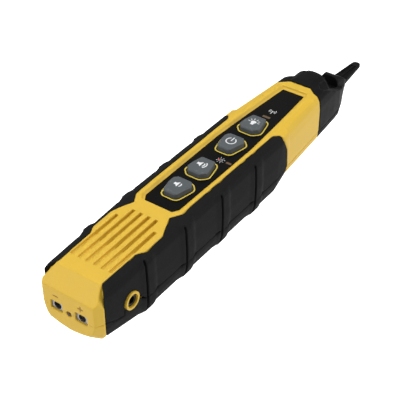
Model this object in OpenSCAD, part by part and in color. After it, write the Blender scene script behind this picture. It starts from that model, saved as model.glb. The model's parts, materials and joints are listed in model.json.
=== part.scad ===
// Tone tracing probe: a hand-held receiver with four rubber keys, a speaker grille,
// two test terminals in the end, an audio socket in the side and a blade tip.
// X is width (audio socket on the positive side), Y runs from the terminal end to the tip,
// Z is up from the flat the probe rests on. Everything is in millimetres.

/* [Case] */
// Thickness of the plastic wall under the soft grips
wall = 1.8; // [1.5:0.1:2]
// Thickness of the soft grip layer
grip_depth = 1.6; // [1.3:0.1:1.7]
// Height of the cross bands that stand above the grip surface
band_height = 0.8; // [0.4:0.1:0.9]
// Width of the cut line beside each cross band
groove_width = 0.9; // [0.4:0.1:1.2]
// Width of the speaker slots
slot_width = 0.8; // [0.6:0.1:1.2]
// Depth of the label recess below the frame around it
label_recess = 1.6; // [1.2:0.1:1.8]

/* [Keys] */
// How far the key tops stand above the frame
key_proud = 1; // [0.3:0.1:1.4]
// Gap between a key and its opening
key_gap = 0.35; // [0.25:0.05:0.5]
// Radius of a snap dome under a key
dome_radius = 2.8; // [2.2:0.1:3.2]

/* [Sockets and terminals] */
// Radius of the audio plug hole
jack_bore = 1.8; // [1.7:0.05:1.9]
// Outer radius of the ring round the audio socket
bezel_radius = 4.5; // [4:0.1:5]
// Radius of the hole in each end terminal
terminal_bore = 2; // [1.5:0.1:2.1]

/* [Tip] */
// Length of blade that shows outside the nose
tip_reach = 21.5; // [14:0.5:28]
// Half width of the blade where it leaves the nose
tip_root = 4.2; // [3:0.1:4.3]

/* [Hidden] */
$fn = 48;
// heights of the main planes
top_z = 36;
base_z = band_height;
ceiling_z = 32;
label_floor = top_z - label_recess - 0.4;
label_top = top_z - label_recess;
skin = wall + grip_depth;
// places along the length
neck_y = 147.5;
nose_y = 182.5;
lip_y = 200.5;
nose_end = 228.5;
// rear face of the collar round the blade
collar_y = 216.8;
// taper of the neck and nose sides, and the half width where the taper starts
taper = 4.574;
neck_half_width = 17.3;
// half width of the handle at its widest
side_line = 18.6;
// the four grooves across the grips and the length of each band
groove_y = [31, 59.2, 87.2, 115.3];
// width of the shallow channels that hold the speaker slots
channel_width = 1.8;
band_length = 6.2;
ramp_length = 2.6;
// audio socket and side boss
jack_y = 21;
jack_z = 18.1;
// the joint line passes just under the middle of the socket
joint_step_z = jack_z - 0.1;
boss_y = 8.6;
boss_z = 17.6;
boss_radius = 4;
// end terminals
terminal_x = 6.9;
terminal_z = 17.3;
// keys from the nose end back: centre and which way the wide end points
key_y = [141, 120.8, 96.9, 77.8];
key_turn = [1, -1, 1, -1];
key_height = top_z + key_proud;
// indicator windows in the label
strength_at = [0.6, 152];
power_at = [7.6, 108.3];
// half width and half height of a terminal window, and the lamp hole between the two
window_half = [3.3, 2.6];
end_hole_z = 16.4;
end_hole_radius = 1;
// half sizes of the two indicator windows and their clearance
strength_half = [2.15, 0.75];
power_half = [1.45, 0.65];
window_gap = 0.05;
// audio socket sleeve: outer radius and how far out it reaches
sleeve_radius = 3;
sleeve_face = 17.4;
// speaker
speaker_y = 38.5;
speaker_radius = 12.9;
speaker_top = 31;
// circuit board
board_low = 27.4;
board_top = 29;
// posts that carry the board
board_post_at = [[10.2, 61.6], [-10.2, 61.6], [9, 162], [-9, 162]];
// height of the wires just under the board, and of the terminal wires lower down
wire_level = 26.85;
wire_low = 11.6;
terminal_wire_radius = 0.5;
jack_wire_radius = 0.35;
speaker_wire_radius = 0.45;
lead_radius = 0.65;
tip_wire_radius = 0.5;
// screws that join the two half shells, then the door screw
screw_at = [[11, 55.5], [-11, 55.5], [8.6, 172], [-8.6, 172]];
screw_floor = [4.4, 4.4, 10, 10];
door_screw_y = 128;
// tip axis height and start of its round shank
tip_z = 16.7;
shank_y = 209.2;
shank_radius = 1.6;
tip_end = nose_end + tip_reach;
// the part is drawn from its terminal end and then moved so the origin is at mid length
half_length = tip_end / 2;
// work light height
light_z = 29.8;
// battery block without its studs, stud spacing and height of its studs
battery_half = 13.1;
battery_length = 46;
battery_low = 3.6;
battery_top = 20.9;
stud_x = 6.35;
stud_z = 12.3;
// place of the battery leads as they rise to the board
lead_y = 120.5;
lead_z = 14;
// battery compartment
bay_near = 64;
bay_far = 124;
bay_half = 13.45;
door_near = 62;
door_far = 132;
door_half = 13.6;
door_top = 2.9;
battery_near = 66;

// ---- helpers ----

// closes a right-hand outline with its mirror image
function both(h) = concat(h, [for (i = [len(h) - 1 : -1 : 0]) [-h[i][0], h[i][1]]]);

// extrudes a Y-Z drawing across X between two places
module across(x0, x1) {
  translate([x0, 0, 0]) rotate([90, 0, 90]) linear_extrude(x1 - x0) children();
}

// extrudes an X-Z drawing along Y between two places
module along(y0, y1) {
  translate([0, y1, 0]) rotate([90, 0, 0]) linear_extrude(y1 - y0) children();
}

// block given by its two corners
module block(a, b) {
  translate(a) cube(b - a);
}

// round rod along Y
module rod_y(x, z, y0, y1, r) {
  translate([x, y0, z]) rotate([-90, 0, 0]) cylinder(h = y1 - y0, r = r);
}

// round rod along X
module rod_x(y, z, x0, x1, r) {
  translate([x0, y, z]) rotate([0, 90, 0]) cylinder(h = x1 - x0, r = r);
}

// upright rod
module rod_z(x, y, z0, z1, r) {
  translate([x, y, z0]) cylinder(h = z1 - z0, r = r);
}

// round joint where two rods of a wire meet
module knee(x, y, z, r) {
  translate([x, y, z]) sphere(r = r);
}

// moves a finished piece so the origin is under the middle of the probe
module placed() {
  translate([0, -half_length, 0]) children();
}

// ---- outer form, d is how far inside the outer skin ----

// half outline of the handle cut across, top centre to bottom centre
function handle_half(d) = [
  [13.3 - 0.4 * d, top_z - d], [17.1 - 0.85 * d, 34.6 - 0.9 * d], [18.2 - d, 31.5 - 0.4 * d],
  [18.6 - d, 21], [18.3 - d, 10 + 0.2 * d], [17.3 - 0.85 * d, 5.6 + 0.5 * d],
  [15.4 - 0.6 * d, 2.6 + 0.85 * d], [13 - 0.3 * d, base_z + d]];

// edge of the neck and nose, measured from their sloping side line
function neck_edge(d) = [
  [-60, top_z - d], [-5 - 0.3 * d, top_z - d], [-2.2 - 0.8 * d, 35.2 - 0.9 * d],
  [-0.6 - d, 32.5 - 0.4 * d], [-d, 28], [-d, 14.5], [-0.5 - 0.95 * d, 10 + 0.3 * d],
  [-3.3 - 0.6 * d, 6 + 0.8 * d], [-5.5 - 0.4 * d, 4.6 + d], [-60, 4.6 + d]];

// outline seen from the side
function side_outline(d) = [
  [0, 7.1], [3.5, 4.9 + 0.9 * d], [13, 2.6 + d], [30, base_z + d], [136, base_z + d],
  [neck_y, 5.2 + d], [185, 6.6 + d], [208, 10.4 + d], [218, 13 + d], [nose_end, 15 + d],
  [nose_end, 40], [178, 40], [178, top_z - d], [74, top_z - d], [62, 35.6 - d],
  [7.9, 34 - d], [0, 27.2 - 0.6 * d]];

// half outline seen from above
function plan_half(d) = [
  [14.4 - d, 0], [16.7 - d, 4.4], [17.6 - d, 10], [18.2 - d, 20], [18.6 - d, 34],
  [18.6 - d, 136], [18 - d, neck_y], [14.5 - d, nose_y], [13.1 - d, 200], [12 - d, 208],
  [9.4 - d, 216], [6.9 - d, 221.6], [5.4 - d, 225.4], [4.3 - d, nose_end]];

// outlines of the upper and the lower side edges, measured from the side line of the handle
function upper_edge(d) = [
  [-60, top_z - d], [-5.3 - 0.4 * d, top_z - d], [-1.5 - 0.85 * d, 34.6 - 0.9 * d],
  [-0.4 - d, 31.5 - 0.4 * d], [-d, 21], [-d, -60], [-60, -60]];
function lower_edge(d) = [
  [-60, 90], [-d, 90], [-d, 21], [-0.3 - d, 10 + 0.2 * d], [-1.3 - 0.85 * d, 5.6 + 0.5 * d],
  [-3.2 - 0.6 * d, 2.6 + 0.85 * d], [-5.6 - 0.3 * d, base_z + d], [-60, base_z + d]];

module neck_side(s, d) {
  translate([s * neck_half_width, neck_y, 0]) rotate([0, 0, s * taper])
    along(-20, 100) polygon([for (p = neck_edge(d)) [s * p[0], p[1]]]);
}

// half space whose edge profile runs along a line turned about the upright and pitched
module edge_space(s, y, pitch, turn, outline) {
  translate([s * side_line, y, 0]) rotate([pitch, 0, s * turn])
    along(-170, 200) polygon([for (p = outline) [s * p[0], p[1]]]);
}

// the handle, its top falling and its lower edges rising towards the terminals,
// and its lower edges rising again where it meets the neck
module handle(d) {
  intersection() {
    along(-1, neck_y) polygon(both(handle_half(d)));
    edge_space(1, 66, 1.9, -1.1, upper_edge(d));
    edge_space(-1, 66, 1.9, -1.1, upper_edge(d));
    edge_space(1, 30, -6, -4.4, lower_edge(d));
    edge_space(-1, 30, -6, -4.4, lower_edge(d));
    edge_space(1, 136, 19, 4.4, lower_edge(d));
    edge_space(-1, 136, 19, 4.4, lower_edge(d));
  }
}

module body_solid(d) {
  intersection() {
    across(-30, 30) polygon(side_outline(d));
    translate([0, 0, -5]) linear_extrude(60) polygon(both(plan_half(d)));
    union() {
      handle(d);
      intersection() {
        neck_side(1, d);
        neck_side(-1, d);
        block([-30, neck_y, -5], [30, 240, 60]);
      }
    }
  }
}

// space below the joint line; on the audio socket side the line steps up to the socket centre
module below_joint() {
  across(-30, 8) polygon([[-5, -10], [-5, 16.6], [5, 16.4], [11, 13.6], [16.5, 12.6],
    [136, 12.5], [147, 13.4], [240, 13.4], [240, -10]]);
  across(8, 30) polygon([[-5, -10], [-5, 16.6], [5, 16.4], [11, 13.6], [16.2, 12.6],
    [16.6, joint_step_z], [26, joint_step_z], [27, 15.4], [29.4, 12.9], [136, 12.5], [147, 13.4],
    [240, 13.4], [240, -10]]);
}

// space taken by the black nose
module nose_space() {
  translate([0, 0, -5]) linear_extrude(60) polygon([[-30, nose_y], [-10, nose_y], [-6.2, 185.5],
    [6.2, 185.5], [10, nose_y], [30, nose_y], [30, 260], [-30, 260]]);
}

// space taken by one soft grip of the front shell, s is the side
module grip_space(s) {
  intersection() {
    translate([0, 0, -5]) linear_extrude(60) polygon([for (p = [[12.1, 9.2], [26, -5.8],
      [40, -5.8], [40, 150], [15.6, 150], [15.4, 141.4], [13.3, 137.9], [13.1, 63.5],
      [10, 58.3], [14.7, 47.1], [14.7, 35.1], [12.5, 30.8]]) [s * p[0], p[1]]]);
    across(-40, 40) polygon([[-10, -6], [146.7, -6], [146.9, 14.2], [145.6, 24.8],
      [141.4, 33], [139.5, 60], [-10, 60]]);
  }
}

// space taken by the soft grip that wraps under the rear shell
module rear_grip_space() {
  intersection() {
    translate([0, 0, -5]) linear_extrude(60) polygon(both([[12.1, 9.2], [26, -5.8],
      [40, -5.8], [40, 150]]));
    block([-40, -6, -6], [40, 146.8, 60]);
  }
}

// outer skin of the grips with the raised bands and the cut lines
module grip_skin() {
  difference() {
    union() {
      body_solid(0);
      for (g = groove_y) intersection() {
        body_solid(-band_height);
        difference() {
          block([-30, g, -6], [30, g + band_length, 34.2]);
          block([-15.4, g - 1, 20], [15.4, g + band_length + 1, 40]);
          block([-door_half - 0.6, door_near - 0.6, -6], [door_half + 0.6, door_far + 0.6, 5]);
        }
      }
      for (g = groove_y) intersection() {
        body_solid(-band_height / 2);
        difference() {
          block([-30, g - ramp_length, -6], [30, g + band_length, 34.2]);
          block([-15.4, g - ramp_length - 1, 20], [15.4, g + band_length + 1, 40]);
          block([-door_half - 0.6, door_near - 0.6, -6], [door_half + 0.6, door_far + 0.6, 5]);
        }
      }
    }
    for (g = groove_y) difference() {
      block([-30, g - groove_width / 2, -6], [30, g + groove_width / 2, 33.4]);
      body_solid(0.7);
      block([-14, g - 2, -8], [14, g + 2, 20]);
    }
  }
}

// hollow inside the case
module cavity(d) {
  intersection() {
    across(-30, 30) polygon([[2.8, 12.6], [6, 9.6], [14, 6.4], [30, base_z + skin],
      [134, base_z + skin], [neck_y, 5.2 + skin], [185, 6.4 + skin], [193, 7 + skin],
      [193, 31.4], [180, ceiling_z], [12, ceiling_z], [8.6, 30.6], [2.8, 25.6]]);
    translate([0, 0, -5]) linear_extrude(60) polygon(both([[13.4, 0], [18.6 - d, 11],
      [18.6 - d, 136], [18 - d, neck_y], [9, 200]]));
    union() {
      handle(d);
      intersection() {
        neck_side(1, d);
        neck_side(-1, d);
        block([-30, neck_y, -5], [30, 240, 60]);
      }
    }
  }
}

// ---- keys ----

// half outline of a key, wide end towards the terminals, w grows it all round
function key_half(w) = [[3.3 + 0.5 * w, -6.4 - w], [5.8 + w, -3.8 - 0.4 * w],
  [5.8 + w, -2.2], [4 + w, 5.5 + 0.4 * w], [2.9 + 0.5 * w, 6.4 + w]];

module key_outline(i, w) {
  translate([0, key_y[i]]) polygon([for (p = both(key_half(w))) [p[0], key_turn[i] * p[1]]]);
}

module key(i) {
  color([0.42, 0.43, 0.44]) {
    intersection() {
      translate([0, 0, 30.9]) linear_extrude(key_height - 30.9) key_outline(i, 0);
      // bevels round the top
      translate([0, key_y[i], 0]) across(-8, 8) polygon([[-6.6, 30], [-6.6, key_height - 0.8],
        [-5.8, key_height], [5.8, key_height], [6.6, key_height - 0.8], [6.6, 30]]);
      along(key_y[i] - 8, key_y[i] + 8) polygon([[-6, 30], [-6, key_height - 0.8],
        [-5.2, key_height], [5.2, key_height], [6, key_height - 0.8], [6, 30]]);
    }
    translate([0, 0, 30.9]) linear_extrude(0.8) key_outline(i, 0.9);
    rod_z(0, key_y[i], 30.5, 31, 2);
  }
}

module key_light() {
  key(0);
}

module key_power() {
  key(1);
}

module key_volume_up() {
  key(2);
}

module key_volume_down() {
  key(3);
}

module keypad_mat() {
  color([0.35, 0.36, 0.37]) difference() {
    block([-11, 63, board_top + 0.05], [11, 151, 31.9]);
    block([-10, 64, board_top], [10, 150, 30.9]);
    for (i = [0 : 3]) translate([0, 0, 30]) linear_extrude(3) key_outline(i, 1.4);
    // room for the power lamp window
    block([power_at[0] - 2.2, power_at[1] - 1.3, 28], [power_at[0] + 2.2, power_at[1] + 1.3, 33]);
  }
}

module snap_domes() {
  color([0.75, 0.76, 0.78]) for (y = key_y) translate([0, y, board_top]) rotate_extrude()
    polygon([[0, 0], [dome_radius, 0], [dome_radius * 0.92, 0.16], [dome_radius * 0.6, 0.36],
      [0, 0.45]]);
}

// ---- label ----

// outline of the label, w grows it
function label_half(w) = [[7.3 + 0.5 * w, 62.6 - w], [9.6 + w, 66.4 - 0.4 * w], [9.9 + w, 124],
  [8.6 + w, 148], [6.3 + w, 178.8 + w]];

// opening for an indicator window, at is its centre and half its half sizes
module window_opening(at, half, z0, z1) {
  block([at[0] - half[0] - window_gap, at[1] - half[1] - window_gap, z0],
    [at[0] + half[0] + window_gap, at[1] + half[1] + window_gap, z1]);
}

module overlay() {
  color([0.03, 0.03, 0.035]) difference() {
    translate([0, 0, label_floor]) linear_extrude(0.4) polygon(both(label_half(0)));
    for (i = [0 : 3]) translate([0, 0, 33]) linear_extrude(4) key_outline(i, key_gap);
    window_opening(strength_at, strength_half, 33, 36);
    window_opening(power_at, power_half, 33, 36);
  }
}

// space inside one sloping side wall of the label recess, turned about its widest point
module recess_side(s, turn) {
  translate([s * 9.9, 124, 0]) rotate([0, 0, s * turn]) along(-70, 60)
    polygon([[-s * 40, 50], [-s * 40, label_floor + 0.5], [s * 0.4, label_floor + 0.5],
      [s * 1.6, top_z + 0.4], [s * 6, 50]]);
}

// recess for the label with sloping walls and a longer slope at the nose end
module label_recess_cut() {
  translate([0, 0, label_floor]) linear_extrude(6) polygon(both(label_half(0.05)));
  intersection() {
    translate([0, 0, label_floor]) linear_extrude(6) polygon(both(label_half(1.4)));
    across(-30, 30) polygon([[60, top_z + 2], [61.8, top_z], [62.6, label_floor + 0.5],
      [178.8, label_floor + 0.5], [182, top_z], [182.4, top_z + 2]]);
    recess_side(1, 3.55);
    recess_side(-1, 3.55);
    recess_side(1, -0.3);
    recess_side(-1, -0.3);
  }
}

// ---- case halves ----

// one speaker channel: a shallow groove with a through slot in its far half
module channel(x, slot_near, slot_far) {
  block([x - channel_width / 2, 16, 33.2], [x + channel_width / 2, slot_far + 0.6, 40]);
  block([x - slot_width / 2, slot_near, 30], [x + slot_width / 2, slot_far, 40]);
}

// the windows and small holes in the terminal end
module end_openings() {
  for (s = [-1, 1])
    block([s * terminal_x - window_half[0], -1, terminal_z - window_half[1]],
      [s * terminal_x + window_half[0], 5, terminal_z + window_half[1]]);
  rod_y(0, end_hole_z, -1, 5, end_hole_radius);
  rod_y(0, end_hole_z, -1, 0.9, end_hole_radius + 0.5);
  // minus sign
  block([-terminal_x - 1.5, -1, 22.8], [-terminal_x + 1.5, 0.5, 23.4]);
  // plus sign
  block([terminal_x - 1.6, -1, 22.8], [terminal_x + 1.6, 0.5, 23.4]);
  block([terminal_x - 0.3, -1, 21.5], [terminal_x + 0.3, 0.5, 24.7]);
}

// outline of the lower corner of the end cap, measured from the side line of the handle
corner_edge = [[-60, 90], [8, 90], [8, 44], [-1.07, 24.57], [-3.3, 15.64],
  [-4.28, 10.39], [-5.17, 7.65], [-6.59, 5.75], [-11.49, 3.19], [-16.57, 1.16], [-30, -6], [-60, -20]];

// area seen from above of one half of the yellow end cap
module cap_area(s) {
  polygon([for (p = [[0, -5.8], [26, -5.8], [12.1, 9.2], [0, 9.2]]) [s * p[0], p[1]]]);
}

// steep bevel on the upper corner of the end cap, in front of the grip
module cap_bevel_cut(s) {
  difference() {
    translate([0, 0, 22.5]) linear_extrude(20) cap_area(s);
    along(-8, 12) polygon([for (p = [[-1, 10], [17.6, 10], [17.4, 22], [15.4, 28.4],
      [12.2, 34], [8, 41.4], [-1, 41.4]]) [s * p[0], p[1]]]);
  }
}

// rounds off the lower corner of the end cap
module cap_corner_cut(s) {
  difference() {
    translate([0, 0, -5]) linear_extrude(27) cap_area(s);
    edge_space(s, 0, -34, -27, corner_edge);
  }
}

module front_shell() {
  color([0.95, 0.72, 0.12]) {
    difference() {
      body_solid(0);
      for (s = [-1, 1]) {
        cap_bevel_cut(s);
        cap_corner_cut(s);
      }
      below_joint();
      nose_space();
      for (s = [-1, 1]) difference() {
        grip_space(s);
        body_solid(grip_depth);
      }
      cavity(skin);
      label_recess_cut();
      for (i = [0 : 3]) translate([0, 0, 30]) linear_extrude(6) key_outline(i, key_gap);
      window_opening(strength_at, strength_half, 30, 36);
      window_opening(power_at, power_half, 30, 36);
      for (x = [-6.4, -2.15, 2.15, 6.4]) channel(x, 30, 53.4);
      for (x = [-10.65, 10.65]) channel(x, 32.5, 46.6);
      end_openings();
      rod_x(jack_y, jack_z, 10, 30, sleeve_radius + 0.1);
    }
    // screw posts
    for (p = screw_at) difference() {
      rod_z(p[0], p[1], 13.4, ceiling_z + 0.3, 3);
      rod_z(p[0], p[1], 13, 25.5, 1.4);
    }
    // posts that carry the circuit board
    for (p = board_post_at) difference() {
      rod_z(p[0], p[1], board_top + 0.02, ceiling_z + 0.3, 1.4);
      rod_z(p[0], p[1], board_top - 1, board_top + 2.4, 0.8);
    }
  }
}

module rear_shell() {
  color([0.95, 0.72, 0.12]) {
    difference() {
      intersection() {
        body_solid(0);
        below_joint();
      }
      cap_corner_cut(-1);
      cap_corner_cut(1);
      nose_space();
      difference() {
        rear_grip_space();
        body_solid(grip_depth);
      }
      cavity(skin);
      end_openings();
      rod_x(jack_y, jack_z, 10, 30, sleeve_radius + 0.1);
      // seat for the battery door and the opening above it
      block([-door_half - 0.15, door_near - 0.15, -5],
        [door_half + 0.15, door_far + 0.15, door_top + 0.05]);
      block([-bay_half, bay_near, -5], [bay_half, bay_far, 6]);
      rod_z(0, door_screw_y, -1, 6, 2.3);
      for (s = [-1, 1]) rod_z(s * 8, 63, -1, 4, 0.85);
      for (i = [0 : 3]) {
        rod_z(screw_at[i][0], screw_at[i][1], -1, screw_floor[i], 2.9);
        rod_z(screw_at[i][0], screw_at[i][1], -1, 12, 1.55);
      }
    }
    // boss that takes the door screw
    difference() {
      rod_z(0, door_screw_y, base_z + skin - 0.3, 14.5, 3.6);
      rod_z(0, door_screw_y, 0, 8.2, 2.3);
      rod_z(0, door_screw_y, 0, 13.6, 1.28);
    }
    // posts round the shell screws
    for (i = [0 : 3]) difference() {
      rod_z(screw_at[i][0], screw_at[i][1], screw_floor[i] - 0.6, 12.4, 3);
      rod_z(screw_at[i][0], screw_at[i][1], -1, screw_floor[i], 2.9);
      rod_z(screw_at[i][0], screw_at[i][1], -1, 14, 1.55);
    }
    // end wall of the battery bay
    intersection() {
      cavity(skin - 0.2);
      block([-14.8, 60.6, base_z], [14.8, 61.9, 12.2]);
    }
  }
}

// ---- soft grips ----

module front_grip(s) {
  color([0.09, 0.09, 0.095]) difference() {
    intersection() {
      grip_skin();
      grip_space(s);
    }
    body_solid(grip_depth);
    below_joint();
    if (s > 0) rod_x(jack_y, jack_z, 10, 30, bezel_radius + 0.02);
    if (s < 0) rod_x(boss_y, boss_z, -30, -10, boss_radius + 0.02);
  }
}

module grip_left() {
  front_grip(-1);
}

module grip_right() {
  front_grip(1);
}

module grip_rear() {
  color([0.09, 0.09, 0.095]) difference() {
    intersection() {
      grip_skin();
      rear_grip_space();
      below_joint();
    }
    body_solid(grip_depth);
    rod_x(jack_y, jack_z, 10, 30, bezel_radius + 0.02);
    block([-door_half - 0.15, door_near - 0.15, -5], [door_half + 0.15, door_far + 0.15, 5]);
    for (i = [0, 1]) rod_z(screw_at[i][0], screw_at[i][1], -1, 5, 2.9);
  }
}

// ---- nose ----

// hood over the work light, an arch that ends in a smaller lip
function hood_half() = [[2, 37.6], [4.8, 37.2], [7.2, 36], [9.1, 34], [10.3, 31.3], [11, 24]];
function lip_half() = [[1.6, 36.9], [3.6, 36.6], [5.4, 35.6], [7.1, 33.9], [8.6, 31.7], [10, 29.2],
  [10.6, 24]];

module nose_form() {
  intersection() {
    union() {
      // side cheeks, falling away towards the tip
      intersection() {
        body_solid(0);
        across(-30, 30) polygon([[170, 0], [170, 60], [184, top_z], [189, 35.2], [199.5, 30.2],
          [209.4, 24.7], [216.5, 21.4], [222, 18.9], [nose_end, 17.2], [nose_end, 0]]);
      }
      // flare between the case and the hood
      intersection() {
        body_solid(0);
        translate([0, 0, 20]) linear_extrude(30) polygon(both([[14, 178], [11.4, 186],
          [9, 190], [8.4, 191]]));
      }
      intersection() {
        along(nose_y, lip_y - 2.4) polygon(both(hood_half()));
        across(-30, 30) polygon([[170, 0], [170, 35.4], [nose_y, 35.8], [188.5, 37.6], [210, 37.6],
          [210, 0]]);
      }
      intersection() {
        along(nose_y, lip_y) polygon(both(lip_half()));
        across(-30, 30) polygon([[170, 0], [170, 35.4], [nose_y, 35.8], [188.5, 37.6], [210, 37.6],
          [210, 0]]);
      }
      // round collar the blade comes out of
      intersection() {
        body_solid(0);
        along(collar_y, nose_end) polygon(both([[1.8, 26.5], [3.6, 25.9], [4.8, 24.7], [5.4, 22.8],
          [5.7, 19.5], [5.7, 14]]));
        across(-30, 30) polygon([[collar_y, 0], [collar_y, 26.5], [218.5, 26.2], [222, 24.4],
          [nose_end, 19.6], [nose_end, 0]]);
      }
    }
    nose_space();
  }
}

module nose_upper() {
  color([0.1, 0.1, 0.105]) {
    difference() {
      nose_form();
      below_joint();
      cavity(skin);
      // recess between the hood and the collar
      intersection() {
        across(-30, 30) polygon([[lip_y, 23.8], [208, 22.2], [collar_y, 19.7], [collar_y, 40],
          [lip_y, 40]]);
        translate([0, 0, 15]) linear_extrude(30) polygon(both([[8.7, lip_y - 1], [8.5, 203],
          [5.2, collar_y + 1]]));
      }
      // seat of the work light
      rod_y(0, light_z, 190, 202, 2.55);
      // bores for the tip shank and for its wire
      rod_y(0, tip_z, 203, 230, 1.66);
      rod_y(0, tip_z, 190, 204, 0.6);
    }
    // tongue that reaches inside the front shell
    difference() {
      union() {
        intersection() {
          cavity(skin + 0.06);
          block([-30, 176.5, 13.4], [30, 184, 31.6]);
        }
        intersection() {
          cavity(skin - 0.5);
          block([-30, 183, 13.4], [30, 187, 31.6]);
        }
      }
      cavity(skin + 1.3);
      block([-30, 170, 31.9], [30, 190, 40]);
      block([-7, 170, 20], [7, 190, 40]);
    }
  }
}

module nose_lower() {
  color([0.1, 0.1, 0.105]) {
    difference() {
      intersection() {
        nose_form();
        below_joint();
      }
      cavity(skin);
    }
  }
}

module probe_tip() {
  color([0.08, 0.08, 0.085]) {
    rod_y(0, tip_z, shank_y, nose_end + 0.4, shank_radius);
    difference() {
      intersection() {
        across(-10, 10) polygon([[nose_end + 0.05, 15.9], [tip_end, 16.7], [tip_end, 18.4],
          [nose_end + 0.05, 18.5]]);
        translate([0, 0, 10]) linear_extrude(20) polygon(both([[tip_root, nose_end],
          [2.6, tip_end - 2.4], [2.6, tip_end + 5]]));
        union() {
          block([-10, nose_end, 10], [10, tip_end - 2.6, 25]);
          rod_z(0, tip_end - 2.6, 10, 25, 2.6);
        }
      }
      // trough along the blade with a thin rib down its middle
      difference() {
        translate([0, 0, 17.5]) linear_extrude(3) polygon(both([[tip_root - 1.1, nose_end + 1.6],
          [1.5, tip_end - 4.4]]));
        block([-0.35, nose_end, 17], [0.35, tip_end, 20]);
      }
    }
  }
}

module tip_spring() {
  color([0.8, 0.68, 0.35]) difference() {
    rod_y(0, tip_z, 203.1, shank_y - 0.05, 1.5);
    rod_y(0, tip_z, 202, shank_y + 1, 1);
  }
}

module tip_wire() {
  r = tip_wire_radius;
  color([0.2, 0.45, 0.25]) {
    rod_y(0, tip_z, 168, 203, r);
    knee(0, 168, tip_z, r);
    rod_z(0, 168, tip_z, 28.2, r);
    knee(0, 168, 28.2, r);
    rod_y(0, 28.2, 166.05, 168, r);
  }
}

// ---- electronics ----

module circuit_board() {
  color([0.05, 0.35, 0.2]) difference() {
    translate([0, 0, board_low]) linear_extrude(board_top - board_low)
      polygon(both([[12.2, 60.2], [12.2, 140], [10.6, 166]]));
    for (p = board_post_at) rod_z(p[0], p[1], 20, 32, 0.9);
  }
}

module board_screws() {
  color([0.7, 0.7, 0.72]) for (p = board_post_at) {
    rod_z(p[0], p[1], board_low, board_top + 2.2, 0.75);
    rod_z(p[0], p[1], board_low - 1, board_low, 1.3);
  }
}

module signal_chip() {
  color([0.06, 0.06, 0.06]) {
    block([-5, 84, board_low - 1.4], [5, 92, board_low - 0.1]);
    for (y = [85 : 1 : 91]) for (s = [-1, 1])
      block([s * 5.6 - 0.6, y - 0.2, board_low - 0.5], [s * 5.6 + 0.6, y + 0.2, board_low]);
  }
}

module capacitors() {
  color([0.15, 0.2, 0.4]) {
    rod_z(7, 135, board_low - 5, board_low, 2.5);
    rod_z(-7, 137, board_low - 5, board_low, 2.5);
  }
}

module strength_leds() {
  color([0.85, 0.35, 0.1]) for (x = [-1.45, 0, 1.45])
    block([strength_at[0] + x - 0.5, strength_at[1] - 0.5, board_top],
      [strength_at[0] + x + 0.5, strength_at[1] + 0.5, board_top + 0.9]);
}

module window_pane(at, half) {
  color([0.45, 0.25, 0.15]) block([at[0] - half[0], at[1] - half[1], 30.2],
    [at[0] + half[0], at[1] + half[1], label_top]);
}

module strength_window() {
  window_pane(strength_at, strength_half);
}

module power_led() {
  color([0.85, 0.35, 0.1]) block([power_at[0] - 0.8, power_at[1] - 0.5, board_top],
    [power_at[0] + 0.8, power_at[1] + 0.5, board_top + 0.9]);
}

module power_window() {
  window_pane(power_at, power_half);
}

module headphone_jack() {
  color([0.12, 0.12, 0.13]) difference() {
    union() {
      block([3.6, jack_y - 5.4, jack_z - 4], [13.2, jack_y + 5.4, jack_z + 4]);
      rod_x(jack_y, jack_z, 13.2, sleeve_face, sleeve_radius);
    }
    rod_x(jack_y, jack_z, 5, 20, jack_bore);
  }
}

module jack_bezel() {
  color([0.95, 0.72, 0.12]) difference() {
    rod_x(jack_y, jack_z, 16.45, 18.35, bezel_radius);
    rod_x(jack_y, jack_z, 10, 30, sleeve_radius + 0.3);
  }
}

module side_boss() {
  color([0.95, 0.72, 0.12]) {
    rod_x(boss_y, boss_z, -19.1, -16.85, boss_radius);
  }
}

module terminal(s) {
  color([0.72, 0.72, 0.74]) difference() {
    union() {
      // plate behind the window and a flange behind the end wall
      block([s * terminal_x - window_half[0] + 0.1, 0.9, terminal_z - window_half[1] + 0.1],
        [s * terminal_x + window_half[0] - 0.1, 9, terminal_z + window_half[1] - 0.1]);
      block([s * terminal_x - window_half[0] - 0.6, 5.05, terminal_z - window_half[1] - 0.6],
        [s * terminal_x + window_half[0] + 0.6, 6, terminal_z + window_half[1] + 0.6]);
    }
    rod_y(s * terminal_x, terminal_z, 0, 8, terminal_bore);
  }
}

module terminal_minus() {
  terminal(-1);
}

module terminal_plus() {
  terminal(1);
}

module terminal_led() {
  color([0.9, 0.3, 0.2]) {
    rod_y(0, end_hole_z, 1.2, 5, end_hole_radius - 0.05);
    rod_y(0, end_hole_z, 5, 8, end_hole_radius + 0.6);
  }
}

module terminal_wires() {
  r = terminal_wire_radius;
  color([0.15, 0.15, 0.16]) for (s = [-1, 1]) {
    x = s * terminal_x;
    rod_y(x, terminal_z, 9, 10.6, r);
    knee(x, 10.6, terminal_z, r);
    rod_z(x, 10.6, wire_low, terminal_z, r);
    knee(x, 10.6, wire_low, r);
    rod_y(x, wire_low, 10.6, 58.8, r);
    knee(x, 58.8, wire_low, r);
    rod_z(x, 58.8, wire_low, wire_level, r);
    knee(x, 58.8, wire_level, r);
    rod_y(x, wire_level, 58.8, 62, r);
  }
}

module jack_wires() {
  r = jack_wire_radius;
  color([0.6, 0.6, 0.62]) for (x = [4.4, 5.6]) {
    rod_y(x, 20.4, jack_y + 5.4, 57.4, r);
    knee(x, 57.4, 20.4, r);
    rod_z(x, 57.4, 20.4, 27, r);
    knee(x, 57.4, 27, r);
    rod_y(x, 27, 57.4, 61.5, r);
  }
}

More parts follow.
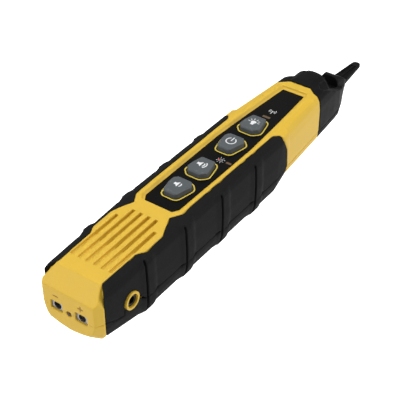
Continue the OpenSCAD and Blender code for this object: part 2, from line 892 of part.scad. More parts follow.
module speaker_frame() {
  color([0.2, 0.2, 0.21]) translate([0, 0, speaker_top]) difference() {
    union() {
      rod_z(0, speaker_y, -2.55, -0.35, speaker_radius);
      rod_z(0, speaker_y, -5.35, -2.55, 10);
    }
    rod_z(0, speaker_y, -2.05, 1, speaker_radius - 1.4);
    rod_z(0, speaker_y, -4.85, -1.95, 9);
  }
}

module speaker_cone() {
  color([0.3, 0.28, 0.26]) translate([0, speaker_y, speaker_top]) rotate_extrude($fn = 64)
    polygon([[0, -2.75], [3, -3.25], [8.8, -2.02], [11.3, -2.02], [11.3, -1.7], [8.6, -1.7],
      [3, -2.85], [0, -2.25]]);
}

module speaker_magnet() {
  color([0.5, 0.5, 0.52]) rod_z(0, speaker_y, speaker_top - 10.15, speaker_top - 5.35, 7.6);
}

module speaker_cloth() {
  color([0.05, 0.05, 0.05]) rod_z(0, speaker_y, speaker_top - 0.33, speaker_top, speaker_radius - 0.6);
}

module speaker_wires() {
  r = speaker_wire_radius;
  y = speaker_y + 10.6;
  color([0.7, 0.1, 0.1]) for (x = [-1.6, 1.6]) {
    rod_y(x, wire_level, y, 62, r);
    rod_z(x, y, wire_level, speaker_top - 2.55, r);
    knee(x, y, wire_level, r);
  }
}

module work_light_led() {
  color([0.95, 0.95, 0.9]) {
    rod_y(0, light_z, 193.4, 199.3, 2.5);
    for (x = [-1.27, 1.27]) rod_y(x, light_z - 0.45, 163, 193.4, 0.28);
  }
}

module work_light_lens() {
  color([0.9, 0.95, 1]) {
    rod_y(0, light_z, 199.35, lip_y, 2.5);
  }
}

// ---- power ----

module battery() {
  end = battery_near + battery_length;
  color([0.25, 0.27, 0.3]) {
    block([-battery_half, battery_near, battery_low], [battery_half, end, battery_top]);
    rod_y(-stud_x, stud_z, end, end + 2.3, 2.9);
    rod_y(stud_x, stud_z, end, end + 2.3, 4);
  }
}

module battery_snap() {
  end = battery_near + battery_length;
  color([0.1, 0.1, 0.1]) {
    difference() {
      block([-12.8, end + 0.05, 4.6], [12.8, end + 5, 20]);
      rod_y(-stud_x, stud_z, end - 1, end + 2.4, 2.95);
      rod_y(stud_x, stud_z, end - 1, end + 2.4, 4.05);
    }
  }
}

// lead from the snap connector up to the board, at sideways place x
module battery_lead(x) {
  rod_y(x, lead_z, battery_near + battery_length + 5, lead_y, lead_radius);
  knee(x, lead_y, lead_z, lead_radius);
  rod_z(x, lead_y, lead_z, board_low, lead_radius);
}

module wire_red() {
  color([0.75, 0.08, 0.06]) battery_lead(-stud_x);
}

module wire_black() {
  color([0.05, 0.05, 0.05]) battery_lead(stud_x);
}

module battery_foam() {
  color([0.2, 0.2, 0.22]) block([-11, 68, door_top + 0.05], [11, 110, 3.55]);
}

module battery_door() {
  color([0.1, 0.1, 0.105]) {
    difference() {
      intersection() {
        body_solid(0);
        block([-door_half, door_near, -1], [door_half, door_far, door_top]);
      }
      rod_z(0, door_screw_y, -1, 4, 1.3);
      rod_z(0, door_screw_y, -1, 2.1, 2.75);
      // thumb lines
      for (y = [66 : 2.4 : 78]) block([-8, y, 0], [8, y + 0.9, base_z + 0.5]);
    }
    // locating pegs at the near end
    for (s = [-1, 1]) rod_z(s * 8, 63, door_top - 0.2, 3.9, 0.8);
  }
}

module door_screw() {
  color([0.7, 0.7, 0.72]) difference() {
    union() {
      rod_z(0, door_screw_y, 1.05, 2.05, 2.6);
      rod_z(0, door_screw_y, 2, 12.2, 1.2);
    }
    // cross slot
    block([-1.7, door_screw_y - 0.25, 0], [1.7, door_screw_y + 0.25, 1.65]);
    block([-0.25, door_screw_y - 1.7, 0], [0.25, door_screw_y + 1.7, 1.65]);
  }
}

module captive_ring() {
  color([0.15, 0.15, 0.15]) difference() {
    rod_z(0, door_screw_y, 7.3, 8, 2.1);
    rod_z(0, door_screw_y, 7, 9, 1.23);
  }
}

module shell_screws() {
  color([0.7, 0.7, 0.72]) for (i = [0 : 3]) difference() {
    union() {
      rod_z(screw_at[i][0], screw_at[i][1], screw_floor[i] - 2, screw_floor[i], 2.6);
      rod_z(screw_at[i][0], screw_at[i][1], screw_floor[i], 24, 1.35);
    }
    translate([screw_at[i][0], screw_at[i][1], screw_floor[i] - 3]) {
      block([-1.7, -0.25, 0], [1.7, 0.25, 2.2]);
      block([-0.25, -1.7, 0], [0.25, 1.7, 2.2]);
    }
  }
}

placed() front_shell();
placed() rear_shell();
placed() nose_upper();
placed() nose_lower();
placed() grip_left();
placed() grip_right();
placed() grip_rear();
placed() overlay();
placed() key_light();
placed() key_power();
placed() key_volume_up();
placed() key_volume_down();
placed() keypad_mat();
placed() snap_domes();
placed() circuit_board();
placed() signal_chip();
placed() capacitors();
placed() board_screws();
placed() strength_leds();
placed() strength_window();
placed() power_led();
placed() power_window();
placed() headphone_jack();
placed() jack_bezel();
placed() terminal_minus();
placed() terminal_plus();
placed() terminal_led();
placed() speaker_frame();
placed() speaker_cone();
placed() speaker_magnet();
placed() speaker_cloth();
placed() probe_tip();
placed() tip_spring();
placed() tip_wire();
placed() battery();
placed() battery_snap();
placed() wire_red();
placed() wire_black();
placed() battery_door();
placed() door_screw();
placed() captive_ring();
placed() battery_foam();
placed() shell_screws();
placed() work_light_led();
placed() work_light_lens();
placed() side_boss();
placed() terminal_wires();
placed() jack_wires();
placed() speaker_wires();
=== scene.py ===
"""Tone tracing probe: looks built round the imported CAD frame."""
import json
import math

import bmesh
import bpy
import numpy as np
from mathutils import Matrix, Vector

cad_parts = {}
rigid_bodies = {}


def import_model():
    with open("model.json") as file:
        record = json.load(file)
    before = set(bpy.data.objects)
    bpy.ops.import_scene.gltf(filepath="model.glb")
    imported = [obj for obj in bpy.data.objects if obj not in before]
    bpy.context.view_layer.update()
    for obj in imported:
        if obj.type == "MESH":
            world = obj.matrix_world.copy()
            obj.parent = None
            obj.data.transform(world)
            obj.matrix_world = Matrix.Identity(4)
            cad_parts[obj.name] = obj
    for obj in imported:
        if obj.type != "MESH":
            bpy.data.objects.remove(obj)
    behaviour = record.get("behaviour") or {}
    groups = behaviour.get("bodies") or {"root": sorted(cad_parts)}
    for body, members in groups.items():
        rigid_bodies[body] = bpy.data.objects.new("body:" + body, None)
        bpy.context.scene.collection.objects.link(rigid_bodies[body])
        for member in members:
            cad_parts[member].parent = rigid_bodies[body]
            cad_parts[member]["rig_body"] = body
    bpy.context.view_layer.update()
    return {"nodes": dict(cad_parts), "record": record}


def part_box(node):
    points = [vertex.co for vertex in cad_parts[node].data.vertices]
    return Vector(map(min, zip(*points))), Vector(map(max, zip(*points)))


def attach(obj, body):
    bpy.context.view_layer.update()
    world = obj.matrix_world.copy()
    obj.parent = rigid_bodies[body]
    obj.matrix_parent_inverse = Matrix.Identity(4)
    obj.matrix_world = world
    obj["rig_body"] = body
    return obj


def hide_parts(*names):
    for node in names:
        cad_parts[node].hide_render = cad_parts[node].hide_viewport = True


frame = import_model()
nodes = frame["nodes"]
scene = bpy.context.scene
MM = 0.001
HALF_LENGTH = 125.0  # the frame's origin is this far from the terminal end, in mm
WHOLE_TURN = 2 * math.pi


def at(x, y, z):
    """A point given in mm from the terminal end, as a vector in metres."""
    return Vector((x * MM, (y - HALF_LENGTH) * MM, z * MM))


def middle(node):
    """The middle of a CAD node in mm, with y from the terminal end."""
    low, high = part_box(node)
    centre = (low + high) / 2 / MM
    return Vector((centre.x, centre.y + HALF_LENGTH, centre.z))


def top_of(node):
    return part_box(node)[1].z / MM


# ---- materials ----

class Tree:
    """Small helper for building a node tree."""

    def __init__(self, name):
        self.material = bpy.data.materials.new(name)
        self.material.use_nodes = True
        self.tree = self.material.node_tree
        self.shader = self.tree.nodes["Principled BSDF"]

    def add(self, kind, **values):
        node = self.tree.nodes.new(kind)
        for key, value in values.items():
            if hasattr(node, key):
                setattr(node, key, value)
            else:
                node.inputs[key.replace("_", " ")].default_value = value
        return node

    def link(self, source, target):
        self.tree.links.new(source, target)

    def ramp(self, source, low, high, out_low, out_high):
        """A value carried from one range to another."""
        node = self.add("ShaderNodeMapRange", From_Min=low, From_Max=high, To_Min=out_low, To_Max=out_high)
        self.link(source, node.inputs["Value"])
        return node.outputs["Result"]

    def mix(self, share, first, second):
        """Two colours mixed, each a socket or a plain colour."""
        node = self.add("ShaderNodeMix", data_type="RGBA")
        factor, a, b = node.inputs[0], node.inputs[6], node.inputs[7]
        self.link(share, factor)
        for colour, target in ((first, a), (second, b)):
            if isinstance(colour, tuple):
                target.default_value = (*colour, 1)
            else:
                self.link(colour, target)
        return node.outputs[2]


def finish_material(name, colour, shade, rough, grain, depth, metallic=0.0, specular=0.5,
                    edge_highlight=0.0, edge_highlight_colour=None, sheen=0.0, transmission=0.0, stretch=None, mottle=6.0):
    """A moulded, printed or metal finish. Colour varies down to shade over patches of mottle mm, grain is
    the bump's size in mm and depth its height in mm, and a painted highlight lightens the rounded edges in
    patches."""
    t = Tree(name)
    place = t.add("ShaderNodeTexCoord").outputs["Object"]
    if stretch:
        mapping = t.add("ShaderNodeMapping", Scale=stretch)
        t.link(place, mapping.inputs["Vector"])
        place = mapping.outputs["Vector"]
    large = t.add("ShaderNodeTexNoise", Scale=1 / (mottle * MM), Detail=4.0, Roughness=0.6)
    fine = t.add("ShaderNodeTexNoise", Scale=1 / (grain * MM), Detail=3.0, Roughness=0.65)
    cells = t.add("ShaderNodeTexVoronoi", Scale=1 / (1.7 * grain * MM))
    for texture in (large, fine, cells):
        t.link(place, texture.inputs["Vector"])
    patches = large.outputs["Fac"]

    shaded = tuple(c * shade for c in colour)
    colour_out = t.mix(t.ramp(patches, 0.3, 0.7, 0.0, 1.0), shaded, colour)
    # painted highlight: the rounded edges are lightened towards the highlight colour, in patches
    if edge_highlight:
        edges = t.add("ShaderNodeNewGeometry").outputs["Pointiness"]
        edge_highlight_share = t.add("ShaderNodeMath", operation="MULTIPLY")
        t.link(t.ramp(edges, 0.52, 0.6, 0.0, edge_highlight), edge_highlight_share.inputs[0])
        t.link(t.ramp(patches, 0.35, 0.6, 0.3, 1.0), edge_highlight_share.inputs[1])
        colour_out = t.mix(edge_highlight_share.outputs[0], colour_out, edge_highlight_colour)
    t.link(colour_out, t.shader.inputs["Base Color"])
    t.link(t.ramp(patches, 0.3, 0.7, *rough), t.shader.inputs["Roughness"])

    height = t.add("ShaderNodeMath", operation="ADD")
    t.link(fine.outputs["Fac"], height.inputs[0])
    t.link(cells.outputs["Distance"], height.inputs[1])
    bump = t.add("ShaderNodeBump", Strength=1.0, Distance=depth * MM)
    t.link(height.outputs[0], bump.inputs["Height"])
    t.link(bump.outputs["Normal"], t.shader.inputs["Normal"])
    for key, value in (("Metallic", metallic), ("Specular IOR Level", specular),
                       ("Sheen Weight", sheen), ("Transmission Weight", transmission)):
        t.shader.inputs[key].default_value = value
    return t.material


# each finish: colour, shade, roughness range, grain, depth, and what else it needs
FINISHES = {
    "yellow_abs": ((0.70, 0.45, 0.039), 0.96, (0.40, 0.48), 0.5, 0.010,
                   {"specular": 0.32, "edge_highlight": 0.25, "edge_highlight_colour": (0.80, 0.56, 0.11)}),
    "black_tpe": ((0.0125, 0.0125, 0.0128), 0.8, (0.56, 0.68), 0.42, 0.05,
                  {"specular": 0.05, "edge_highlight": 0.5, "edge_highlight_colour": (0.022, 0.022, 0.022)}),
    "black_abs": ((0.009, 0.009, 0.0093), 0.85, (0.42, 0.52), 0.4, 0.02,
                  {"specular": 0.045, "edge_highlight": 0.4, "edge_highlight_colour": (0.03, 0.03, 0.03)}),
    "label": ((0.0045, 0.0042, 0.004), 0.8, (0.22, 0.30), 0.6, 0.003, {"specular": 0.07, "mottle": 18}),
    "key_silicone": ((0.088, 0.10, 0.107), 0.93, (0.5, 0.6), 0.3, 0.012,
                     {"specular": 0.2, "sheen": 0.03, "edge_highlight": 0.35, "edge_highlight_colour": (0.2, 0.21, 0.22)}),
    "mat_silicone": ((0.10, 0.105, 0.11), 0.9, (0.5, 0.6), 0.3, 0.01, {}),
    "nickel": ((0.44, 0.44, 0.45), 0.8, (0.34, 0.46), 0.2, 0.006,
               {"metallic": 1.0, "stretch": (1, 1, 8), "mottle": 2}),
    "zinc_screw": ((0.55, 0.55, 0.56), 0.8, (0.3, 0.45), 0.2, 0.008, {"metallic": 1.0, "mottle": 2}),
    "board": ((0.012, 0.11, 0.045), 0.8, (0.3, 0.4), 0.5, 0.01, {"mottle": 3}),
    "chip": ((0.02, 0.02, 0.021), 0.8, (0.5, 0.6), 0.15, 0.01, {"mottle": 2}),
    "capacitor": ((0.03, 0.045, 0.15), 0.85, (0.3, 0.4), 0.5, 0.005, {}),
    "led_red": ((0.55, 0.05, 0.03), 0.85, (0.15, 0.25), 0.5, 0.003, {"transmission": 0.2, "mottle": 2}),
    "window_brown": ((0.15, 0.095, 0.05), 0.75, (0.2, 0.3), 0.5, 0.003, {"specular": 0.4, "mottle": 1.5}),
    "jack_body": ((0.006, 0.006, 0.006), 0.8, (0.4, 0.55), 0.3, 0.01, {"specular": 0.3}),
    "clear": ((0.62, 0.64, 0.66), 0.95, (0.05, 0.12), 0.6, 0.002, {"transmission": 0.85, "mottle": 3}),
    "speaker_frame": ((0.03, 0.03, 0.032), 0.8, (0.35, 0.5), 0.4, 0.01, {"metallic": 0.6}),
    "speaker_cone": ((0.05, 0.045, 0.04), 0.7, (0.8, 0.9), 0.3, 0.04, {}),
    "magnet": ((0.12, 0.12, 0.125), 0.7, (0.5, 0.7), 0.3, 0.03, {"metallic": 0.7}),
    "cloth": ((0.012, 0.012, 0.012), 0.6, (0.85, 0.95), 0.25, 0.08, {"specular": 0.2}),
    "brass": ((0.6, 0.4, 0.14), 0.85, (0.25, 0.4), 0.2, 0.005, {"metallic": 1.0}),
    "wire_green": ((0.02, 0.12, 0.03), 0.85, (0.4, 0.5), 0.4, 0.01, {}),
    "wire_red": ((0.4, 0.012, 0.01), 0.85, (0.4, 0.5), 0.4, 0.01, {}),
    "wire_black": ((0.01, 0.01, 0.01), 0.85, (0.4, 0.5), 0.4, 0.01, {}),
    "wire_grey": ((0.12, 0.12, 0.125), 0.85, (0.4, 0.5), 0.4, 0.01, {}),
    "battery": ((0.045, 0.06, 0.11), 0.75, (0.25, 0.4), 0.4, 0.006, {"metallic": 0.5, "mottle": 9}),
    "led_unlit": ((0.05, 0.012, 0.008), 0.85, (0.2, 0.3), 0.4, 0.003, {"specular": 0.2, "mottle": 2}),
    "foam": ((0.02, 0.02, 0.021), 0.6, (0.9, 1.0), 0.5, 0.25, {"specular": 0.15}),
    "white_print": ((0.78, 0.79, 0.80), 0.93, (0.45, 0.55), 0.3, 0.004, {}),
    "yellow_print": ((0.74, 0.56, 0.07), 0.95, (0.4, 0.5), 0.3, 0.003, {}),
    # painted shade for the moulded signs on the terminal end
    "sign_shade": ((0.36, 0.17, 0.012), 0.95, (0.45, 0.55), 0.4, 0.004, {}),
    # painted shade for the small hole on the terminal end
    "hole_shade": ((0.07, 0.028, 0.006), 0.9, (0.5, 0.6), 0.4, 0.004, {}),
    "red_print": ((0.62, 0.04, 0.04), 0.9, (0.4, 0.5), 0.3, 0.003, {}),
}
MATERIALS = {slot: finish_material(slot + "_look", *finish, **more)
             for slot, (*finish, more) in FINISHES.items()}

slot_of = {part["node"]: part["material_slot"] for part in frame["record"]["subparts"]}
for name, node in nodes.items():
    node.data.materials.clear()
    node.data.materials.append(MATERIALS["led_unlit" if name == "terminal_led" else slot_of[name]])


# ---- moulded pieces: the CAD solid with its edges rounded over ----

def evaluated_mesh(obj):
    graph = bpy.context.evaluated_depsgraph_get()
    return bpy.data.meshes.new_from_object(obj.evaluated_get(graph))


def relax(mesh, weight, rounds):
    """Laplacian smoothing of a mesh, each vertex by its own weight."""
    count = len(mesh.vertices)
    edges = np.empty(len(mesh.edges) * 2, np.int32)
    mesh.edges.foreach_get("vertices", edges)
    a, b = edges[0::2], edges[1::2]
    degree = np.bincount(edges, minlength=count)
    co = np.empty(count * 3, np.float32)
    mesh.vertices.foreach_get("co", co)
    co = co.reshape(-1, 3).astype(float)
    share = weight(co / MM + (0, HALF_LENGTH, 0))[:, None] * 0.5
    for _ in range(rounds):
        total = np.stack([np.bincount(a, co[b, k], count) + np.bincount(b, co[a, k], count)
                          for k in range(3)], 1)
        co += share * (total / degree[:, None] - co)
    mesh.vertices.foreach_set("co", co.astype(np.float32).ravel())
    mesh.update()


def welded_mesh(node):
    """The mesh of a CAD node with the points along its face borders joined."""
    mesh = nodes[node].data.copy()
    work = bmesh.new()
    work.from_mesh(mesh)
    bmesh.ops.remove_doubles(work, verts=work.verts, dist=0.002 * MM)
    work.to_mesh(mesh)
    work.free()
    return mesh


def moulded(node, voxel, passes, keep):
    """The solid of a CAD node rebuilt as a fine mesh whose edges are rounded over, standing for that node.
    passes is a list of (rounds of smoothing, weight function of the points in mm), voxel is the size of
    the fine mesh in mm and keep the share of its faces that stay."""
    obj = bpy.data.objects.new("work_" + node, welded_mesh(node))
    scene.collection.objects.link(obj)
    cells = obj.modifiers.new("cells", "REMESH")
    cells.mode, cells.voxel_size, cells.use_smooth_shade = "VOXEL", voxel * MM, True
    fine = evaluated_mesh(obj)
    obj.modifiers.clear()
    obj.data = fine
    for rounds, weight in passes:
        relax(fine, weight, rounds)
    thin = obj.modifiers.new("thin", "DECIMATE")
    thin.ratio = keep
    done = evaluated_mesh(obj)
    bpy.data.objects.remove(obj)
    done.materials.clear()
    done.materials.append(MATERIALS[slot_of[node]])
    done.shade_smooth()
    piece = bpy.data.objects.new(node + "_moulded", done)
    scene.collection.objects.link(piece)
    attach(piece, nodes[node]["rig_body"])
    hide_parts(node)


def fade(value, start, end):
    """0 below start, 1 above end, smooth between."""
    t = np.clip((value - start) / (end - start), 0, 1)
    return t * t * (3 - 2 * t)


def between(value, low, high, soft):
    """1 between two places, 0 outside them, smooth over the soft distance."""
    return fade(value, low - soft, low) * (1 - fade(value, high, high + soft))


# places along the case in mm from the terminal end, and half widths
CUT_LINES = (31.0, 59.2, 87.2, 115.3)
BAND_ENDS = (-2.6, 6.2)
GRILLE_SPAN, GRILLE_HALF, GRILLE_HEIGHT = (15, 55), 12.2, 30
MARKS_HALF, MARKS_SPAN, MARKS_DEPTH = 9.6, (14, 25.4), 0.9
NECK_START, LABEL_HALF = 58, 10.2


def everywhere(p):
    return np.ones(len(p))


def clear_of_cuts(p):
    """Everywhere, but little in the cut lines across the grips."""
    near = np.min([np.abs(p[:, 1] - line) for line in CUT_LINES], axis=0)
    return 0.25 + 0.75 * fade(near, 0.8, 1.8)


def clear_of_detail(p):
    """Everywhere but the speaker grille and the fine marks on the terminal end."""
    x, y, z = np.abs(p[:, 0]), p[:, 1], p[:, 2]
    grille = between(y, *GRILLE_SPAN, 1.5) * between(x, 0, GRILLE_HALF, 1.0)
    grille *= fade(z, GRILLE_HEIGHT - 1, GRILLE_HEIGHT + 1)
    marks = (1 - fade(y, MARKS_DEPTH, MARKS_DEPTH + 0.7)) * between(x, 0, MARKS_HALF, 0.8)
    marks *= between(z, *MARKS_SPAN, 0.8)
    return 1 - np.maximum(0.75 * grille, marks)


def past_grille(p):
    """The shoulders and the neck, but not the speaker grille, the key openings or the terminal end."""
    return fade(p[:, 1], NECK_START, NECK_START + 6) * fade(np.abs(p[:, 0]), LABEL_HALF, LABEL_HALF + 1.3)


def band_ramps(p):
    """The two ends of each raised band on the grips, clear of the cut line."""
    near = np.zeros(len(p))
    for line in CUT_LINES:
        for end in BAND_ENDS:
            near = np.maximum(near, 1 - fade(np.abs(p[:, 1] - line - end), 0.5, 2.6))
    for line in CUT_LINES:
        near *= fade(np.abs(p[:, 1] - line), 0.7, 1.5)
    return near


# each key, and which way its narrow end points along the case
KEYS = {"key_light": 1, "key_power": -1, "key_volume_up": 1, "key_volume_down": -1}

moulded("front_shell", 0.25, [(6, clear_of_detail), (18, past_grille)], 0.25)
moulded("rear_shell", 0.35, [(4, everywhere)], 0.3)
moulded("nose_upper", 0.3, [(14, everywhere)], 0.35)
moulded("nose_lower", 0.3, [(4, everywhere)], 0.35)
for grip in ("grip_left", "grip_right", "grip_rear"):
    moulded(grip, 0.28, [(8, clear_of_cuts), (70, band_ramps)], 0.3)
for key in KEYS:
    moulded(key, 0.16, [(9, everywhere)], 0.5)
moulded("jack_bezel", 0.14, [(5, everywhere)], 0.4)
moulded("side_boss", 0.16, [(6, everywhere)], 0.4)
moulded("probe_tip", 0.2, [(5, everywhere)], 0.4)
moulded("battery_door", 0.25, [(4, everywhere)], 0.35)


# ---- outlines for the printed marks, in mm ----

def circle(x, y, r, steps=32):
    turns = [WHOLE_TURN * i / steps for i in range(steps)]
    return [(x + r * math.cos(a), y + r * math.sin(a)) for a in turns]


def arc_band(x, y, r, width, start, end, steps=20):
    """A band of an arc about (x, y), angles in degrees."""
    turns = [math.radians(start + (end - start) * i / steps) for i in range(steps + 1)]
    outer, inner = r + width / 2, r - width / 2
    return ([(x + outer * math.cos(a), y + outer * math.sin(a)) for a in turns]
            + [(x + inner * math.cos(a), y + inner * math.sin(a)) for a in reversed(turns)])


def bar(x0, y0, x1, y1, width, width_end=None):
    """A straight bar between two points."""
    end = width if width_end is None else width_end
    along = Vector((x1 - x0, y1 - y0)).normalized()
    side = Vector((-along.y, along.x)) / 2
    return [(x0 + side.x * width, y0 + side.y * width), (x0 - side.x * width, y0 - side.y * width),
            (x1 - side.x * end, y1 - side.y * end), (x1 + side.x * end, y1 + side.y * end)]


def ray(x, y, angle, near, far, width, width_end=None):
    """A bar that points away from (x, y), angle in radians, near and far its two ends."""
    c, s = math.cos(angle), math.sin(angle)
    return bar(x + near[0] * c, y + near[1] * s, x + far[0] * c, y + far[1] * s, width, width_end)


def plus_outline(x, y, half_length, half_width):
    """The twelve corners of a plus sign."""
    loop = []
    arm = ((half_length, -half_width), (half_length, half_width), (half_width, half_width))
    for quarter in range(4):
        for u, v in arm:
            for _ in range(quarter):
                u, v = -v, u
            loop.append((x + u, y + v))
    return loop


def round_corners(points, cut, steps=4):
    """The outline with each corner replaced by a small arc."""
    out = []
    corners = [Vector(point) for point in points]
    for i, p in enumerate(corners):
        before = corners[i - 1] - p
        after = corners[(i + 1) % len(corners)] - p
        a = p + before.normalized() * min(cut, before.length / 2.2)
        b = p + after.normalized() * min(cut, after.length / 2.2)
        for k in range(steps + 1):
            t = k / steps
            q = a * (1 - t) ** 2 + p * 2 * t * (1 - t) + b * t ** 2
            out.append((q.x, q.y))
    return out


def key_outline(y, turn, grow):
    """The outline of a key about y, grown, with its narrow end towards turn."""
    half = [(3.3 + 0.5 * grow, -6.4 - grow), (5.8 + grow, -3.8 - 0.4 * grow), (5.8 + grow, -2.2),
            (4.0 + grow, 5.5 + 0.4 * grow), (2.9 + 0.5 * grow, 6.4 + grow)]
    loop = half + [(-x, v) for x, v in reversed(half)]
    return [(x, y + turn * v) for x, v in loop]


def speaker_icon(x, y, s, waves):
    """Loudspeaker of size s seen from the side with sound waves to its right."""
    half = [(-0.1, 1.45), (-1.05, 0.55), (-1.9, 0.55)]
    loop = [(u, -v) for u, v in reversed(half)] + half
    loops = [[(x + u * s, y + v * s) for u, v in loop]]
    for i in range(waves):
        loops.append(arc_band(x - 0.2 * s, y, (1.15 + 0.85 * i) * s, 0.42 * s, -50, 50, 12))
    return loops


def lamp_icon(x, y, s):
    """Lamp head of size s with rays above it."""
    dome = [(1.15 * math.cos(math.radians(a)), math.sin(math.radians(a)) - 0.1) for a in range(15, 180, 15)]
    loop = ([(-0.62, -1.75), (0.62, -1.75), (0.7, -0.75), (1.15, -0.1)] + dome
            + [(-1.15, -0.1), (-0.7, -0.75)])
    loops = [[(x + u * s, y + v * s) for u, v in loop]]
    for i in range(6):
        loops.append(ray(x, y + 0.05 * s, math.radians(36 * i), (1.6 * s, 1.5 * s), (2.5 * s, 2.4 * s),
                         0.34 * s, 0.26 * s))
    return loops


def power_icon(x, y, r, width):
    """Broken ring with a bar through the gap."""
    gap = 28
    return [arc_band(x, y, r, width, 90 + gap, 450 - gap, 40), bar(x, y, x, y + r + 0.7, width)]


def light_icon(x, y):
    """Small ring with eight rays."""
    loops = [circle(x, y, 0.95, 24), circle(x, y, 0.78, 24)]
    for i in range(8):
        loops.append(ray(x, y, WHOLE_TURN * (i + 0.5) / 8, (1.5, 1.5), (2.2, 2.2), 0.2))
    return loops


def signal_icon(x, y):
    """Dot on a short mast with two arcs on each side."""
    loops = [bar(x, y - 2.4, x, y - 0.4, 0.3), circle(x, y, 0.4, 16)]
    for facing in (0, 180):
        for r in (1.1, 1.85):
            loops.append(arc_band(x, y, r, 0.24, facing - 42, facing + 42, 10))
    return loops


# ---- printed marks, and painted shade on the terminal end ----

def outline_mesh(name, loops, low, high):
    """A thin flat mesh from closed outlines in mm; an outline inside another one is a hole."""
    curve = bpy.data.curves.new(name + "_outline", "CURVE")
    curve.dimensions, curve.fill_mode, curve.extrude = "2D", "BOTH", (high - low) / 2 * MM
    for loop in loops:
        spline = curve.splines.new("POLY")
        spline.points.add(len(loop) - 1)
        for point, (x, y) in zip(spline.points, loop):
            point.co = (*at(x, y, 0), 1)
        spline.use_cyclic_u = True
    obj = bpy.data.objects.new(name + "_work", curve)
    scene.collection.objects.link(obj)
    mesh = evaluated_mesh(obj)
    bpy.data.objects.remove(obj)
    mesh.transform(Matrix.Translation((0, 0, (low + high) / 2 * MM)))
    return mesh


def riding(name, mesh, body, look):
    """A piece that rides on a body and has the look."""
    mesh.materials.clear()
    mesh.materials.append(MATERIALS[look])
    piece = bpy.data.objects.new(name, mesh)
    scene.collection.objects.link(piece)
    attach(piece, body)


PRINT = 0.03  # half the thickness of a print in mm


def label_mark(name, loops, look, high=PRINT):
    """A mark printed on the label."""
    top = top_of("overlay")
    riding(name, outline_mesh(name, loops, top - PRINT, top + high), "case", look)


def key_mark(key, loops):
    """A mark printed on a key, which moves with it."""
    name, top = "mark_" + key, top_of(key)
    riding(name, outline_mesh(name, loops, top - 0.05, top + 0.02), key, "white_print")


def end_mark(name, loops, depth, look):
    """A dark piece on the terminal end from outlines of (x, height), depth deep on both sides of the face,
    painting shade into a moulded sign or hole.
    """
    mesh = outline_mesh(name, [[(x, z + HALF_LENGTH) for x, z in loop] for loop in loops], -depth, depth)
    mesh.transform(Matrix.Translation(at(0, 0, 0)) @ Matrix.Rotation(WHOLE_TURN / 4, 4, "X"))
    riding(name, mesh, "case", look)


for key, turn in KEYS.items():
    y = middle(key).y
    outer = round_corners(key_outline(y, turn, 1.3), 1.5)
    inner = round_corners(key_outline(y, turn, 0.65), 1.2)
    label_mark("outline_" + key, [outer, inner], "yellow_print")

key_mark("key_light", lamp_icon(0, middle("key_light").y + 0.2, 1.3))
key_mark("key_power", power_icon(0, middle("key_power").y + 0.5, 2.45, 0.52))
key_mark("key_volume_up", speaker_icon(-0.3, middle("key_volume_up").y + 0.6, 1.35, 2))
key_mark("key_volume_down", speaker_icon(0.1, middle("key_volume_down").y + 0.8, 1.3, 1))

power_lamp = middle("power_window")
label_mark("mark_power_lamp", light_icon(power_lamp.x - 4.7, power_lamp.y), "white_print", 0.02)
label_mark("mark_power_lamp_dot", [circle(power_lamp.x - 5.6, power_lamp.y, 0.5, 20)], "red_print")
strength = middle("strength_window")
label_mark("mark_signal", signal_icon(strength.x, strength.y + 6), "white_print", 0.02)

# the minus and plus signs are moulded into the end; the dark pieces over them are painted shade in their
# grooves
SIGN_LIFT, SIGN_HALF, SIGN_WIDTH = 5.8, 1.5, 0.5
minus, plus, lamp = middle("terminal_minus"), middle("terminal_plus"), middle("terminal_led")
sign_z = plus.z + SIGN_LIFT
minus_bar = bar(minus.x - SIGN_HALF, sign_z, minus.x + SIGN_HALF, sign_z, SIGN_WIDTH)
end_mark("sign_minus", [minus_bar], 0.06, "sign_shade")
end_mark("sign_plus", [plus_outline(plus.x, sign_z, SIGN_HALF, SIGN_WIDTH / 2)], 0.06, "sign_shade")
# painted shade: a dark disc where the small hole round the lamp lies in shadow
end_mark("end_hole", [circle(lamp.x, lamp.z, 1.0)], 0.05, "hole_shade")


# ---- stage: floor, light and camera ----

def floor_material():
    """Pale matt floor that looks white from above and is clear from below."""
    t = Tree("floor_look")
    t.shader.inputs["Base Color"].default_value = (0.93, 0.93, 0.93, 1)
    t.shader.inputs["Roughness"].default_value = 0.9
    glow = t.add("ShaderNodeEmission", Color=(1, 1, 1, 1))
    seen = t.add("ShaderNodeLightPath").outputs["Is Camera Ray"]
    t.link(t.ramp(seen, 0.0, 1.0, 0.12, 1.0), glow.inputs["Strength"])
    lit = t.add("ShaderNodeAddShader")
    t.link(t.shader.outputs[0], lit.inputs[0])
    t.link(glow.outputs[0], lit.inputs[1])
    pick = t.add("ShaderNodeMixShader")
    t.link(t.add("ShaderNodeNewGeometry").outputs["Backfacing"], pick.inputs[0])
    t.link(lit.outputs[0], pick.inputs[1])
    t.link(t.add("ShaderNodeBsdfTransparent").outputs[0], pick.inputs[2])
    t.link(pick.outputs[0], t.tree.nodes["Material Output"].inputs["Surface"])
    return t.material


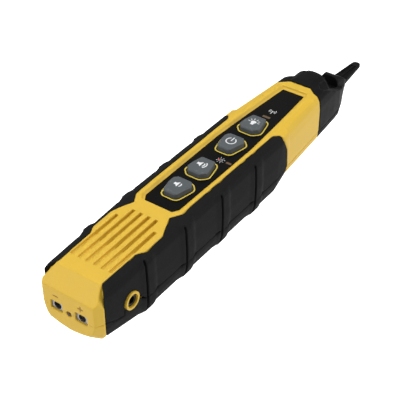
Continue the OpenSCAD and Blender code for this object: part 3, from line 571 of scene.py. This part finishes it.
def softbox(name, place, size, power):
    """A square area light that faces the probe."""
    light = bpy.data.lights.new(name, "AREA")
    light.shape, light.size, light.energy = "SQUARE", size, power
    obj = bpy.data.objects.new(name, light)
    obj.location = place
    obj.rotation_mode = "QUATERNION"
    obj.rotation_quaternion = Vector(place).to_track_quat("Z", "Y")
    scene.collection.objects.link(obj)


floor_mesh = bpy.data.meshes.new("floor")
work = bmesh.new()
bmesh.ops.create_grid(work, x_segments=1, y_segments=1, size=6.0)
work.to_mesh(floor_mesh)
work.free()
floor_mesh.materials.append(floor_material())
floor = bpy.data.objects.new("floor", floor_mesh)
floor.location = (0, 0, -0.16)
scene.collection.objects.link(floor)

world = bpy.data.worlds.new("studio")
scene.world = world
world.use_nodes = True
background = world.node_tree.nodes["Background"]
background.inputs["Color"].default_value = (1, 1, 1, 1)
background.inputs["Strength"].default_value = 0.42
softbox("front_softbox", (-0.45, -0.95, 0.75), 0.6, 5.5)
softbox("side_softbox", (0.95, 0.45, 0.55), 0.6, 5.2)
softbox("top_softbox", (-0.15, 0.1, 1.1), 0.8, 6.1)

camera_data = bpy.data.cameras.new("camera")
camera_data.sensor_width, camera_data.lens = 36.0, 96.599
camera_data.clip_start, camera_data.clip_end = 0.01, 20
camera = bpy.data.objects.new("camera", camera_data)
scene.collection.objects.link(camera)
scene.camera = camera
AZIMUTH, ELEVATION, ROLL = 0.62643868, 0.66728676, -0.00426401
DISTANCE = 0.510150593
TARGET = at(2.915, 91.399, 21.0)
back = Vector((math.sin(AZIMUTH) * math.cos(ELEVATION), -math.cos(AZIMUTH) * math.cos(ELEVATION),
               math.sin(ELEVATION)))
level = Vector((math.cos(AZIMUTH), math.sin(AZIMUTH), 0))
upright = back.cross(level)
right = level * math.cos(ROLL) + upright * math.sin(ROLL)
up = upright * math.cos(ROLL) - level * math.sin(ROLL)
place = TARGET + back * DISTANCE
camera.matrix_world = Matrix((
    (right.x, up.x, back.x, place.x),
    (right.y, up.y, back.y, place.y),
    (right.z, up.z, back.z, place.z),
    (0, 0, 0, 1)))

scene.view_settings.view_transform = "Standard"
scene.view_settings.look = "None"
scene.view_settings.exposure = 0.0
